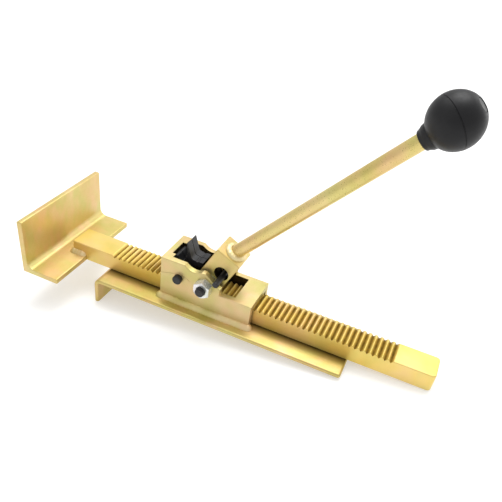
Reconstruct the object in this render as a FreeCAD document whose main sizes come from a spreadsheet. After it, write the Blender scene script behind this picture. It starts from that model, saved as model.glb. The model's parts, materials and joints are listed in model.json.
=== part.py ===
import FreeCAD, Part
import math
import os

import Sketcher

# Ratchet jack for pulling hardwood floorboards tight.
# Frame: origin at the centre of the base plate's underside, +X along the rack
# bar from the pusher to the bar's free end, +Z up, millimetres.

SIZES = {
    # base plate with a down-turned hook at its pusher end
    "base_length": 284, "base_width": 79, "base_thickness": 5, "hook_drop": 26,
    "hook_outer_bend": 8, "base_edge_round": 2.2, "base_corner_round": 2.5,
    # rack bar
    "bar_width": 30, "bar_height": 20, "bar_underside": 5.3, "bar_start": -185,
    "bar_end": 225, "bar_edge_round": 0.8, "bar_end_round": 4,
    "tooth_pitch": 6, "tooth_gaps": 53, "tooth_depth": 3.2, "tooth_gap_width": 5.4,
    "rack_start": -133.5,
    # pusher angle
    "pusher_face": -212, "pusher_width": 137, "pusher_height": 62.8, "pusher_leg": 44.2,
    "pusher_thickness": 6, "pusher_root_round": 8, "pusher_edge_round": 1.2,
    "bar_slot_play": 0.1, "pusher_bead": 4.5,
    # ratchet housing
    "housing_start": -67, "housing_end": 37, "housing_width": 49, "housing_wall": 6.5,
    "housing_top": 55, "web_thickness": 6.5, "window_start": -57, "window_throat": -61,
    "throat_width": 23, "shoulder_x": -29, "shoulder_top": 53, "slope_start": -16.5,
    "slope_foot": 39.5, "guide_start": 1, "guide_top": 33, "guide_window_end": 16.5,
    "scallop_radius": 15, "scallop_bottom": 50.3, "housing_edge_round": 1.3,
    "housing_bead": 5.5,
    # lever pivot
    "pivot_x": -15.5, "pivot_z": 38.5, "bolt_radius": 5, "running_play": 0.05,
    "hex_flats": 17, "nut_height": 10, "head_height": 6.5, "bolt_end": 38.5,
    "washer_radius": 10, "washer_thickness": 2.5, "washer_play": 0.25,
    # lever block, upright before it is tilted
    "block_tilt": 27, "block_width": 28.7, "block_depth": 30, "block_height": 40,
    "block_heel_radius": 12.9, "heel_half_width": 12.3, "heel_height": 3.9,
    "flank_foot": 2.6, "block_edge_round": 1.2, "slot_width": 15, "slot_top": 25,
    "release_hole_radius": 8, "release_hole_v": 4.3, "release_hole_u": 18.8,
    # handle
    "handle_tilt": 41.2, "handle_base_v": 1.3, "rod_radius": 7, "rod_length": 208.8,
    "spigot_radius": 5, "spigot_start": 212, "spigot_end": 236, "handle_bead": 4.5,
    "ball_radius": 22.2, "ball_centre": 236.1, "neck_radius": 10.3, "seam_offset": -3.4,
    "seam_tilt": 32.5, "seam_turn": 68, "groove_depth": 0.7, "groove_width": 1.6,
    "insert_radius": 8, "insert_end": 238,
    "plug_radius": 6, "plug_depth": 2.5,
    # drive pawl, hung from a pin in the block
    "drive_pin_x": 9.4, "drive_pin_z": -4, "drive_pin_radius": 2.5, "drive_hub_radius": 4.2,
    "drive_low": -3.5, "drive_high": 7.2, "arm_x": 4.5, "arm_z": 15.7, "arm_half_width": 3,
    "arm_eye_radius": 4.6, "drive_tip_x": -6.94, "drive_tip_z": -8.91,
    "release_pin_radius": 3.3, "release_pin_end": 32.5,
    # hold pawls, two plates on one pin
    "hold_x": -46, "hold_z": 36, "hold_pin_radius": 5, "hold_pin_proud": 5.3,
    "hold_pin_head_radius": 8, "hold_pin_head": 3, "hold_plate": 9.4, "hold_gap": 0.5,
    "hold_hub_radius": 9, "hold_tip_x": -14.95, "hold_tip_z": -10.2, "fin_height": 35,
    "ledge_reach": 19.7, "ledge_top": 17.8, "ledge_thickness": 5.3, "ledge_groove": 0.9,
    "spacer_radius": 7.5, "spring_wire_radius": 0.6, "spring_turns": 4,
}

doc = FreeCAD.newDocument("floor_jack")
sheet = doc.addObject("Spreadsheet::Sheet", "dims")
for row, (alias, value) in enumerate(SIZES.items(), start=1):
    sheet.set(f"A{row}", alias)
    sheet.set(f"B{row}", str(value))
    sheet.setAlias(f"B{row}", alias)
scratch = doc.addObject("Spreadsheet::Sheet", "scratch")
doc.recompute()

PLANE_ROLE = {"XY": "XY_Plane", "XZ": "XZ_Plane", "YZ": "YZ_Plane"}
sub_parts = []


def size(alias):
    """Plain number of a spreadsheet cell."""
    return float(getattr(sheet, alias))


def bound(text):
    """Expression text with each alias read from the spreadsheet."""
    text = str(text)
    words = "".join(c if c.isalnum() or c == "_" else " " for c in text).split()
    for word in sorted({w for w in words if w in SIZES}, key=len, reverse=True):
        text = _replace_word(text, word, "dims." + word)
    return text


def _replace_word(text, word, new):
    """Replace whole words only, and never one that follows a dot."""
    out = ""
    i = 0
    while i < len(text):
        before = text[i - 1] if i else " "
        after = text[i + len(word)] if i + len(word) < len(text) else " "
        whole = not (before.isalnum() or before in "_.") and not (after.isalnum() or after == "_")
        if text.startswith(word, i) and whole:
            out += new
            i += len(word)
        else:
            out += text[i]
            i += 1
    return out


def value_of(text):
    """Number that an expression gives now, worked out in a cell of the scratch sheet."""
    scratch.set("A1", "=" + bound(text))
    scratch.recompute()
    result = scratch.get("A1")
    return float(getattr(result, "Value", result))


def new_body(label, x="0", y="0", z="0", tilt="0"):
    """A body whose own origin sits at x, y, z and is tilted about +Y, +Z towards +X."""
    body = doc.addObject("PartDesign::Body", label)
    body.Label = label
    body.Placement = FreeCAD.Placement(
        FreeCAD.Vector(0, 0, 0), FreeCAD.Rotation(FreeCAD.Vector(0, 1, 0), 0.001))
    body.setExpression("Placement.Base.x", bound(x))
    body.setExpression("Placement.Base.y", bound(y))
    body.setExpression("Placement.Base.z", bound(z))
    if value_of(tilt) == 0:
        body.Placement = FreeCAD.Placement()
    else:
        body.setExpression("Placement.Rotation.Angle", bound(tilt))
    sub_parts.append(body)
    return body


def new_sketch(body, plane, at):
    """A sketch parallel to one of the body's origin planes, at a place along the third axis."""
    sketch = body.newObject("Sketcher::SketchObject", body.Label + "_sketch")
    role = PLANE_ROLE[plane]
    support = [f for f in body.Origin.OriginFeatures if f.Role == role][0]
    sketch.AttachmentSupport = [(support, "")]
    sketch.MapMode = "FlatFace"
    along = f"-({at})" if plane == "XZ" else f"({at})"
    sketch.setExpression("AttachmentOffset.Base.z", bound(along))
    return sketch


def hold_point(sketch, index, position, x, y):
    """Tie one point of the sketch to two expressions."""
    for kind, text in (("DistanceX", x), ("DistanceY", y)):
        number = sketch.addConstraint(
            Sketcher.Constraint(kind, -1, 1, index, position, value_of(text)))
        sketch.setExpression(f"Constraints[{number}]", bound(text))


def draw(sketch, loops):
    """Closed outlines: a list of (x, y) corners, or one (x, y, radius) circle."""
    for loop in loops:
        if isinstance(loop, tuple):
            x, y, radius = loop
            centre = FreeCAD.Vector(value_of(x), value_of(y), 0)
            circle = Part.Circle(centre, FreeCAD.Vector(0, 0, 1), value_of(radius))
            index = sketch.addGeometry(circle, False)
            hold_point(sketch, index, 3, x, y)
            number = sketch.addConstraint(
                Sketcher.Constraint("Radius", index, value_of(radius)))
            sketch.setExpression(f"Constraints[{number}]", bound(radius))
            continue
        corners = [FreeCAD.Vector(value_of(x), value_of(y), 0) for x, y in loop]
        count = len(corners)
        lines = []
        for i in range(count):
            segment = Part.LineSegment(corners[i], corners[(i + 1) % count])
            lines.append(sketch.addGeometry(segment, False))
        for i in range(count):
            following = lines[(i + 1) % count]
            sketch.addConstraint(Sketcher.Constraint("Coincident", lines[i], 2, following, 1))
        for i, (x, y) in enumerate(loop):
            hold_point(sketch, lines[i], 1, x, y)


def extrude(body, plane, loops, low, high, cut=False):
    """Add or cut the loops between two places along the plane's own axis."""
    start_high = (plane == "XZ") != cut
    sketch = new_sketch(body, plane, high if start_high else low)
    draw(sketch, loops)
    doc.recompute()
    before = body.Shape.Volume if body.Tip else 0.0
    kind = "PartDesign::Pocket" if cut else "PartDesign::Pad"
    feature = body.newObject(kind, body.Label + ("_cut" if cut else "_pad"))
    feature.Profile = sketch
    feature.Type = "Length"
    feature.Length = value_of(f"({high}) - ({low})")
    feature.setExpression("Length", bound(f"({high}) - ({low})"))
    body.Tip = feature
    doc.recompute()
    change = body.Shape.Volume - before
    if (change >= 0) if cut else (change <= 0):
        raise RuntimeError(f"{body.Label}: the extrusion changed the volume by {change}")
    return feature


def box_loop(x_low, x_high, y_low, y_high):
    """Four corners of a rectangle."""
    return [(x_low, y_low), (x_high, y_low), (x_high, y_high), (x_low, y_high)]


def revolve(body, outline):
    """Turn a half outline (radius, height) about the body's own Z axis."""
    sketch = new_sketch(body, "XZ", "0")
    draw(sketch, [outline])
    feature = body.newObject("PartDesign::Revolution", body.Label + "_turned")
    feature.Profile = sketch
    feature.ReferenceAxis = (sketch, ["V_Axis"])
    feature.Angle = 360
    body.Tip = feature
    doc.recompute()
    return feature


def dress(body, kind, amount, wanted):
    """Fillet or chamfer the edges of the tip that a test picks out."""
    base = body.Tip
    names = []
    for i, edge in enumerate(base.Shape.Edges, start=1):
        middle = edge.valueAt((edge.FirstParameter + edge.LastParameter) / 2)
        if wanted(middle, edge):
            names.append(f"Edge{i}")
    if not names:
        raise RuntimeError(f"{body.Label}: no edge to dress")
    feature = body.newObject("PartDesign::" + kind, body.Label + "_" + kind.lower())
    feature.Base = (base, names)
    prop = "Radius" if kind == "Fillet" else "Size"
    setattr(feature, prop, value_of(amount))
    feature.setExpression(prop, bound(amount))
    body.Tip = feature
    doc.recompute()
    return feature


def along(edge, axis):
    """True if a straight edge runs along an axis of the body."""
    if edge.Curve.TypeId != "Part::GeomLine":
        return False
    direction = edge.tangentAt(edge.FirstParameter)
    return abs(getattr(direction, axis)) > 0.999


def close(a, b, gap=0.01):
    return abs(a - b) < gap


def add_shape(label, shape, placement=None):
    """A sub-part made directly from a shape, with its placement set after the shape."""
    feature = doc.addObject("Part::Feature", label)
    feature.Label = label
    feature.Shape = shape
    if placement is not None:
        feature.Placement = placement
    sub_parts.append(feature)
    return feature


def cylinder_y(label, x, z, radius, low, high, bore=None):
    """A round piece or tube that lies along Y."""
    body = new_body(label, x, "0", z)
    loops = [("0", "0", radius)]
    if bore:
        loops.append(("0", "0", bore))
    extrude(body, "XZ", loops, low, high)
    return body


def hexagon(flats):
    """Corners of a hexagon with two corners along its own X axis."""
    corner = f"({flats}) / 2 / cos(30)"
    half = f"{corner} / 2"
    side = f"({flats}) / 2"
    return [(corner, "0"), (half, side), (f"-{half}", side), (f"-{corner}", "0"),
            (f"-{half}", f"-({side})"), (half, f"-({side})")]


# ---------------------------------------------------------------- base group

def make_base_plate():
    body = new_body("base_plate")
    left = "-base_length / 2"
    right = "base_length / 2"
    inner = "-base_length / 2 + base_thickness"
    outline = [(left, "base_thickness"), (right, "base_thickness"), (right, "0"),
               (inner, "0"), (inner, "-hook_drop"), (left, "-hook_drop")]
    extrude(body, "XZ", [outline], "-base_width / 2", "base_width / 2")
    half = size("base_length") / 2
    side = size("base_width") / 2
    dress(body, "Fillet", "base_corner_round",
          lambda p, e: along(e, "z") and close(p.x, half))
    dress(body, "Fillet", "hook_outer_bend - base_thickness",
          lambda p, e: along(e, "y") and close(p.x, size("base_thickness") - half) and close(p.z, 0))
    dress(body, "Fillet", "hook_outer_bend",
          lambda p, e: along(e, "y") and close(p.x, -half) and close(p.z, size("base_thickness")))
    dress(body, "Fillet", "base_edge_round",
          lambda p, e: along(e, "x") and close(abs(p.y), side) and p.z > 0)


def make_housing():
    """One inverted channel: a tall half over the hold pawls, a low guide over the bar."""
    body = new_body("ratchet_housing")
    profile = [("housing_start", "base_thickness"), ("housing_end", "base_thickness"),
               ("housing_end", "guide_top"), ("guide_start", "guide_top"),
               ("guide_start", "slope_foot"), ("slope_start", "shoulder_top"),
               ("shoulder_x", "shoulder_top"), ("shoulder_x", "housing_top"),
               ("housing_start", "housing_top")]
    extrude(body, "XZ", [profile], "-housing_width / 2", "housing_width / 2")
    scallop = ("shoulder_x", "scallop_bottom + scallop_radius", "scallop_radius")
    extrude(body, "XZ", [scallop], "-housing_width", "housing_width", cut=True)
    side = size("housing_width") / 2
    low_edge = size("guide_top") - 0.1
    dress(body, "Fillet", "housing_edge_round",
          lambda p, e: close(abs(p.y), side) and p.z > low_edge)
    inside = "housing_width / 2 - housing_wall"
    web = "housing_top - web_thickness"
    guide = "guide_top - web_thickness"
    passage = [("housing_start - 1", "0"), ("housing_end + 1", "0"),
               ("housing_end + 1", guide), ("guide_window_end", guide),
               ("guide_window_end", "housing_top + 1"), ("window_start", "housing_top + 1"),
               ("window_start", web), ("housing_start - 1", web)]
    extrude(body, "XZ", [passage], f"-({inside})", inside, cut=True)
    throat = box_loop("window_throat", "window_start + 1", "-throat_width / 2", "throat_width / 2")
    extrude(body, "XY", [throat], "housing_top - web_thickness - 1", "housing_top + 1", cut=True)
    holes = [("pivot_x", "pivot_z", "bolt_radius"), ("hold_x", "hold_z", "hold_pin_radius")]
    extrude(body, "XZ", holes, "-housing_width", "housing_width", cut=True)


def bead(length, leg, ends=0.35):
    """A fillet weld along +X in the corner between a floor (z = 0) and a wall (y = 0)."""
    def section(x, scale):
        a = leg * scale
        corner = FreeCAD.Vector(x, 0, 0)
        foot = FreeCAD.Vector(x, -a, 0)
        crown = FreeCAD.Vector(x, -0.62 * a, 0.62 * a)
        top = FreeCAD.Vector(x, 0, a)
        arc = Part.Arc(foot, crown, top).toShape()
        return Part.Wire([Part.makeLine(corner, foot), arc, Part.makeLine(top, corner)])
    stations = [(0, ends), (leg, 1), (length - leg, 1), (length, ends)]
    return Part.makeLoft([section(x, scale) for x, scale in stations], True, True)


def make_housing_welds():
    """Two long fillet welds, one at the foot of each housing wall."""
    length = size("housing_end") - size("housing_start")
    one = bead(length, size("housing_bead"))
    near = one.copy()
    near.translate(FreeCAD.Vector(size("housing_start"), -size("housing_width") / 2, 0))
    far = near.mirror(FreeCAD.Vector(0, 0, 0), FreeCAD.Vector(0, 1, 0))
    lift = FreeCAD.Placement(FreeCAD.Vector(0, 0, size("base_thickness")), FreeCAD.Rotation())
    add_shape("housing_welds", Part.makeCompound([near, far]), lift)


def make_pivot_hardware():
    wall = "housing_width / 2"
    bolt = new_body("pivot_bolt", "pivot_x", "0", "pivot_z")
    extrude(bolt, "XZ", [("0", "0", "bolt_radius")], "-bolt_end", wall)
    extrude(bolt, "XZ", [hexagon("hex_flats")], wall, f"{wall} + head_height")
    dress(bolt, "Chamfer", "bolt_radius / 6",
          lambda p, e: close(p.y, -size("bolt_end")))
    nut = new_body("pivot_nut", "pivot_x", "0", "pivot_z")
    extrude(nut, "XZ", [hexagon("hex_flats"), ("0", "0", "bolt_radius")],
            f"-({wall} + nut_height)", f"-({wall})")
    washers = []
    outer = size("housing_width") / 2 - size("housing_wall") - size("washer_play")
    for low in (outer - size("washer_thickness"), -outer):
        start = FreeCAD.Vector(0, low, 0)
        axis = FreeCAD.Vector(0, 1, 0)
        disc = Part.makeCylinder(size("washer_radius"), size("washer_thickness"), start, axis)
        hole = Part.makeCylinder(size("bolt_radius"), size("washer_thickness"), start, axis)
        washers.append(disc.cut(hole))
    place = FreeCAD.Vector(size("pivot_x"), 0, size("pivot_z"))
    add_shape("pivot_washers", Part.makeCompound(washers), FreeCAD.Placement(place, FreeCAD.Rotation()))


def make_hold_pin():
    wall = "housing_width / 2"
    pin = new_body("hold_pawl_pin", "hold_x", "0", "hold_z")
    extrude(pin, "XZ", [("0", "0", "hold_pin_radius")], f"-({wall} + hold_pin_proud)", wall)
    extrude(pin, "XZ", [("0", "0", "hold_pin_head_radius")], wall, f"{wall} + hold_pin_head")
    dress(pin, "Chamfer", "hold_pin_radius / 6",
          lambda p, e: close(p.y, -size("housing_width") / 2 - size("hold_pin_proud")))
    dress(pin, "Fillet", "hold_pin_head / 3",
          lambda p, e: close(p.y, size("housing_width") / 2 + size("hold_pin_head")))
    inner = "housing_width / 2 - housing_wall - washer_play"
    cylinder_y("hold_pawl_spacer", "hold_x", "hold_z", "spacer_radius",
               "hold_plate + hold_gap / 2 + washer_play", inner, bore="hold_pin_radius")


def coil(radius, wire, turns, pitch, leg_in, leg_out):
    """A torsion spring about +Z: a helix with a straight leg at each end."""
    helix = Part.makeHelix(pitch, pitch * turns, radius)
    start = FreeCAD.Vector(radius, 0, 0)
    section = Part.Wire(Part.makeCircle(wire, start, FreeCAD.Vector(0, 1, 0)))
    body = Part.Wire(helix.Edges).makePipeShell([section], True, True)
    turn = 2 * math.pi * turns
    end = FreeCAD.Vector(radius * math.cos(turn), radius * math.sin(turn), pitch * turns)
    tangent = FreeCAD.Vector(-math.sin(turn), math.cos(turn), 0)
    first = Part.makeCylinder(wire, leg_in, start, FreeCAD.Vector(0, -1, 0))
    last = Part.makeCylinder(wire, leg_out, end, tangent)
    joints = [Part.makeSphere(wire, start), Part.makeSphere(wire, end)]
    return body.fuse([first, last] + joints).removeSplitter()


def spring_placement(x, y, z, turn):
    """Lay a coil along -Y, starting at y, with its first leg turned about the axis."""
    lie = FreeCAD.Rotation(FreeCAD.Vector(1, 0, 0), 90)
    spin = FreeCAD.Rotation(FreeCAD.Vector(0, 1, 0), turn)
    return FreeCAD.Placement(FreeCAD.Vector(x, y, z), spin.multiply(lie))


def make_hold_spring():
    """Torsion spring on the hold pawls' pin, between the near plate and the near wall."""
    wire = size("spring_wire_radius")
    plate = size("hold_plate") + size("hold_gap") / 2
    room = size("housing_width") / 2 - size("housing_wall") - plate
    turns = size("spring_turns") + 0.25
    pitch = (room - 2 * wire - 0.8) / turns
    shape = coil(size("hold_pin_radius") + wire + 0.4, wire, turns, pitch, 12, 7)
    place = spring_placement(size("hold_x"), -plate - wire - 0.3, size("hold_z"), 220)
    add_shape("hold_pawl_spring", shape, place)


# ---------------------------------------------------------------- rack group

def make_rack_bar():
    body = new_body("rack_bar")
    top = "bar_underside + bar_height"
    extrude(body, "XZ", [box_loop("bar_start", "bar_end", "bar_underside", top)],
            "-bar_width / 2", "bar_width / 2")
    end = size("bar_end")
    dress(body, "Fillet", "bar_end_round", lambda p, e: along(e, "z") and close(p.x, end))
    side = size("bar_width") / 2
    dress(body, "Chamfer", "bar_edge_round",
          lambda p, e: along(e, "x") and close(abs(p.y), side))
    middle = "rack_start + tooth_pitch / 2"
    gap = [(f"{middle} - tooth_gap_width / 2", top), (middle, f"{top} - tooth_depth"),
           (f"{middle} + tooth_gap_width / 2", top),
           (f"{middle} + tooth_gap_width / 2", f"{top} + 1"),
           (f"{middle} - tooth_gap_width / 2", f"{top} + 1")]
    groove = extrude(body, "XZ", [gap], "-bar_width", "bar_width", cut=True)
    pattern = body.newObject("PartDesign::LinearPattern", "rack_teeth")
    pattern.Originals = [groove]
    axis = [f for f in body.Origin.OriginFeatures if f.Role == "X_Axis"][0]
    pattern.Direction = (axis, [""])
    pattern.setExpression("Occurrences", bound("tooth_gaps"))
    pattern.setExpression("Length", bound("tooth_pitch * (tooth_gaps - 1)"))
    body.Tip = pattern
    doc.recompute()


def make_pusher():
    body = new_body("pusher_angle")
    back = "pusher_face"
    front = "pusher_face + pusher_thickness"
    foot = "bar_underside"
    floor = "bar_underside + pusher_thickness"
    top = "bar_underside + pusher_height"
    toe = "pusher_face + pusher_leg"
    outline = [(back, foot), (toe, foot), (toe, floor), (front, floor), (front, top), (back, top)]
    extrude(body, "XZ", [outline], "-pusher_width / 2", "pusher_width / 2")
    root_x = size("pusher_face") + size("pusher_thickness")
    root_z = size("bar_underside") + size("pusher_thickness")
    dress(body, "Fillet", "pusher_root_round",
          lambda p, e: along(e, "y") and close(p.x, root_x) and close(p.z, root_z))
    slot = "bar_width / 2 + bar_slot_play"
    extrude(body, "XY", [box_loop("bar_start - bar_slot_play", f"{toe} + 1", f"-({slot})", slot)],
            "0", "bar_underside + pusher_thickness + 1", cut=True)
    high = size("bar_underside") + size("pusher_height")
    side = size("pusher_width") / 2
    tip = size("pusher_face") + size("pusher_leg")
    dress(body, "Fillet", "pusher_edge_round",
          lambda p, e: along(e, "y") and (close(p.z, high) or close(p.x, tip))
          or along(e, "x") and close(abs(p.y), side) and close(p.z, high))


def make_pusher_welds():
    """Fillet welds that join the bar to the angle's leg, along both sides of the bar."""
    leg = size("pusher_bead")
    start = size("bar_start") - leg
    length = size("pusher_face") + size("pusher_leg") - start
    near = bead(length, leg, 0.5)
    near.translate(FreeCAD.Vector(start, -size("bar_width") / 2 - size("bar_slot_play"), 0))
    far = near.mirror(FreeCAD.Vector(0, 0, 0), FreeCAD.Vector(0, 1, 0))
    lift = FreeCAD.Vector(0, 0, size("bar_underside") + size("pusher_thickness"))
    add_shape("pusher_welds", Part.makeCompound([near, far]),
              FreeCAD.Placement(lift, FreeCAD.Rotation()))


# --------------------------------------------------------------- lever group

def make_lever_block():
    """Block between the housing walls, slotted from below for the drive pawl."""
    body = new_body("lever_block", "pivot_x", "0", "pivot_z", "block_tilt")
    half = "block_width / 2"
    depth = "block_depth / 2"
    outline = [(f"-{half}", "block_height"), (half, "block_height"), (half, "flank_foot"),
               ("heel_half_width", "-heel_height"), ("-heel_half_width", "-heel_height"),
               (f"-{half}", "flank_foot")]
    extrude(body, "XZ", [outline], f"-{depth}", depth)
    extrude(body, "XZ", [("0", "0", "block_heel_radius")], f"-{depth}", depth)
    top = size("block_height")
    width = size("block_width") / 2
    dress(body, "Fillet", "block_edge_round",
          lambda p, e: close(p.z, top) or along(e, "z") and close(abs(p.x), width))
    slot = box_loop("-slot_width / 2", "slot_width / 2", "-block_height", "slot_top")
    extrude(body, "YZ", [slot], "-block_width", "block_width", cut=True)
    extrude(body, "XZ", [("0", "0", "bolt_radius + running_play")],
            "-block_depth", "block_depth", cut=True)
    release = ("release_hole_v", "release_hole_u", "release_hole_radius")
    extrude(body, "XZ", [release], "-block_depth", "0", cut=True)
    pin_v = "drive_pin_x * cos(block_tilt) - drive_pin_z * sin(block_tilt)"
    pin_u = "drive_pin_x * sin(block_tilt) + drive_pin_z * cos(block_tilt)"
    extrude(body, "XZ", [(pin_v, pin_u, "drive_pin_radius")],
            "-block_depth", "block_depth", cut=True)


HANDLE_X = "pivot_x + block_height * sin(block_tilt) + handle_base_v * cos(block_tilt)"
HANDLE_Z = "pivot_z + block_height * cos(block_tilt) - handle_base_v * sin(block_tilt)"


def make_handle_rod():
    """Round rod, cut on the slant where it stands on the block, with a spigot in the knob."""
    body = new_body("handle_rod", HANDLE_X, "0", HANDLE_Z, "handle_tilt")
    revolve(body, [("0", "-6"), ("rod_radius", "-6"), ("rod_radius", "spigot_start"),
                   ("spigot_radius", "spigot_start"), ("spigot_radius", "spigot_end"),
                   ("0", "spigot_end")])
    slant = "20 * tan(handle_tilt - block_tilt)"
    below = [("-20", f"-({slant})"), ("20", slant), ("20", "-30"), ("-20", "-30")]
    extrude(body, "XZ", [below], "-20", "20", cut=True)


def make_handle_weld():
    """Weld ring round the foot of the rod, on the block's top face."""
    ring = size("handle_bead")
    radius = size("rod_radius")
    inner = FreeCAD.Vector(0, 0, 0)
    points = [inner, FreeCAD.Vector(radius + ring, 0, 0)]
    crown = FreeCAD.Vector(radius + 0.62 * ring, 0, 0.62 * ring)
    top = FreeCAD.Vector(radius, 0, ring)
    arc = Part.Arc(points[1], crown, top).toShape()
    axis_top = FreeCAD.Vector(0, 0, ring)
    wire = Part.Wire([Part.makeLine(*points), arc, Part.makeLine(top, axis_top),
                      Part.makeLine(axis_top, inner)])
    solid = Part.Face(wire).revolve(inner, FreeCAD.Vector(0, 0, 1), 360)
    lean = size("handle_tilt") - size("block_tilt")
    turn = FreeCAD.Rotation(FreeCAD.Vector(0, 1, 0), lean)
    rod = Part.makeCylinder(radius, 60, FreeCAD.Vector(0, 0, -30))
    rod.Placement = FreeCAD.Placement(FreeCAD.Vector(0, 0, 0), turn).multiply(rod.Placement)
    foot = FreeCAD.Vector(value_of(HANDLE_X), 0, value_of(HANDLE_Z))
    tilt = FreeCAD.Rotation(FreeCAD.Vector(0, 1, 0), size("block_tilt"))
    add_shape("handle_weld", solid.cut(rod), FreeCAD.Placement(foot, tilt))


def make_knob():
    """Ball knob with a short neck, a shallow slanting seam round it and a plug in its far end."""
    centre = size("ball_centre")
    radius = size("ball_radius")
    neck = size("neck_radius")
    start = size("rod_length")
    ball = Part.makeSphere(radius, FreeCAD.Vector(0, 0, centre))
    stem = Part.makeCylinder(neck, centre - start, FreeCAD.Vector(0, 0, start))
    knob = ball.fuse(stem)
    wide = size("groove_width")
    band = Part.makeCylinder(radius + 5, wide, FreeCAD.Vector(0, 0, size("seam_offset") - wide / 2))
    turn = FreeCAD.Rotation(FreeCAD.Vector(0, 0, 1), size("seam_turn"))
    lean = FreeCAD.Rotation(FreeCAD.Vector(0, 1, 0), size("seam_tilt"))
    band.Placement = FreeCAD.Placement(FreeCAD.Vector(0, 0, centre), turn.multiply(lean))
    keep = Part.makeSphere(radius - size("groove_depth"), FreeCAD.Vector(0, 0, centre))
    knob = knob.cut(band.cut(keep))
    bore = Part.makeCylinder(size("rod_radius"), size("spigot_start") - start,
                             FreeCAD.Vector(0, 0, start))
    seat = Part.makeCylinder(size("insert_radius"), size("insert_end") - size("spigot_start"),
                             FreeCAD.Vector(0, 0, size("spigot_start")))
    pocket_base = centre + radius - size("plug_depth") - 0.8
    pocket = Part.makeCylinder(size("plug_radius"), 10, FreeCAD.Vector(0, 0, pocket_base))
    knob = knob.cut(bore).cut(seat).cut(pocket).removeSplitter()
    place = FreeCAD.Placement(FreeCAD.Vector(value_of(HANDLE_X), 0, value_of(HANDLE_Z)),
                              FreeCAD.Rotation(FreeCAD.Vector(0, 1, 0), size("handle_tilt")))
    add_shape("knob", knob, place)
    plug = new_body("knob_plug", HANDLE_X, "0", HANDLE_Z, "handle_tilt")
    base = "ball_centre + ball_radius - plug_depth - 0.8"
    extrude(plug, "XY", [("0", "0", "plug_radius")], base, f"{base} + plug_depth")
    insert = new_body("knob_insert", HANDLE_X, "0", HANDLE_Z, "handle_tilt")
    extrude(insert, "XY", [("0", "0", "insert_radius"), ("0", "0", "spigot_radius")],
            "spigot_start", "insert_end")


# --------------------------------------------------------------- pawl groups

DRIVE_X = "pivot_x + drive_pin_x"
DRIVE_Z = "pivot_z + drive_pin_z"


def make_drive_pawl():
    """Bell crank: a tooth that drives the rack, and an arm that carries the release pin."""
    body = new_body("drive_pawl", DRIVE_X, "0", DRIVE_Z)
    low = "drive_low"
    high = "drive_high"
    foot = [("drive_tip_x", "drive_tip_z"), ("-4.9", "-5.5"), ("3.4", "-2.3"),
            ("-3.2", "2.6"), ("-9", "-3.4")]
    extrude(body, "XZ", [foot], low, high)
    extrude(body, "XZ", [("0", "0", "drive_hub_radius")], low, high)
    reach = "sqrt(arm_x * arm_x + arm_z * arm_z)"
    side_x = f"arm_half_width * arm_z / {reach}"
    side_z = f"arm_half_width * arm_x / {reach}"
    arm = [(f"-{side_x}", side_z), (side_x, f"-{side_z}"),
           (f"arm_x + {side_x}", f"arm_z - {side_z}"), (f"arm_x - {side_x}", f"arm_z + {side_z}")]
    extrude(body, "XZ", [arm], low, high)
    extrude(body, "XZ", [("arm_x", "arm_z", "arm_eye_radius")], low, high)
    holes = [("0", "0", "drive_pin_radius + running_play"), ("arm_x", "arm_z", "release_pin_radius")]
    extrude(body, "XZ", holes, "-20", "20", cut=True)
    pin = new_body("release_pin", f"{DRIVE_X} + arm_x", "0", f"{DRIVE_Z} + arm_z")
    extrude(pin, "XZ", [("0", "0", "release_pin_radius")], "-release_pin_end", high)
    dress(pin, "Fillet", "release_pin_radius / 2.5",
          lambda p, e: close(p.y, -size("release_pin_end")))
    cheek = "block_depth / 2"
    cylinder_y("drive_pawl_pin", DRIVE_X, DRIVE_Z, "drive_pin_radius", f"-{cheek}", cheek)


def make_drive_spring():
    """Small torsion spring on the drive pawl's pin, in the near side of the block's slot."""
    wire = size("spring_wire_radius") / 2
    room = size("slot_width") / 2 + size("drive_low")
    turns = 3.25
    pitch = (room - 2 * wire - 0.6) / turns
    shape = coil(size("drive_pin_radius") + wire + 0.2, wire, turns, pitch, 5, 3)
    place = spring_placement(value_of(DRIVE_X), size("drive_low") - wire - 0.3,
                             value_of(DRIVE_Z), 200)
    add_shape("drive_pawl_spring", shape, place)


def make_hold_pawls():
    """Two plates side by side: each has a tooth, a stop horn, a finger fin and a tail ledge."""
    near_face = "hold_plate + hold_gap / 2"
    sides = {"hold_pawl_near": (f"-({near_face})", "-hold_gap / 2"),
             "hold_pawl_far": ("hold_gap / 2", near_face)}
    outline = [("hold_tip_x", "hold_tip_z"), ("hold_tip_x + 0.6", "hold_tip_z"),
               ("-10.6", "-6.1"), ("-5.5", "-7.1"), ("7", "-5"), ("8.6", "2"),
               ("ledge_reach - 9", "ledge_top - ledge_thickness - 2"),
               ("ledge_reach - 1.6", "ledge_top - ledge_thickness"), ("ledge_reach", "ledge_top"),
               ("ledge_reach - 5.2", "ledge_top"), ("ledge_reach - 6", "ledge_top - ledge_groove"),
               ("ledge_reach - 7.8", "ledge_top - ledge_groove"), ("ledge_reach - 8.6", "ledge_top"),
               ("8.6", "ledge_top"), ("7.1", "ledge_top + 0.4"), ("6", "ledge_top + 1.6"),
               ("5.2", "ledge_top + 3.2"), ("0.5", "fin_height"), ("-0.3", "fin_height"),
               ("1.2", "fin_height - 11"), ("-1.8", "13.5"), ("-5.5", "9"),
               ("-9.8", "16.4"), ("-12.4", "16"), ("-13.2", "12.5"), ("-17.6", "11.2"),
               ("-18.4", "3"), ("-14.95", "-3.2")]
    for label, (low, high) in sides.items():
        body = new_body(label, "hold_x", "0", "hold_z")
        extrude(body, "XZ", [outline], low, high)
        extrude(body, "XZ", [("0", "0", "hold_hub_radius")], low, high)
        extrude(body, "XZ", [("0", "0", "hold_pin_radius + running_play")],
                "-hold_plate * 2", "hold_plate * 2", cut=True)


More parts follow.
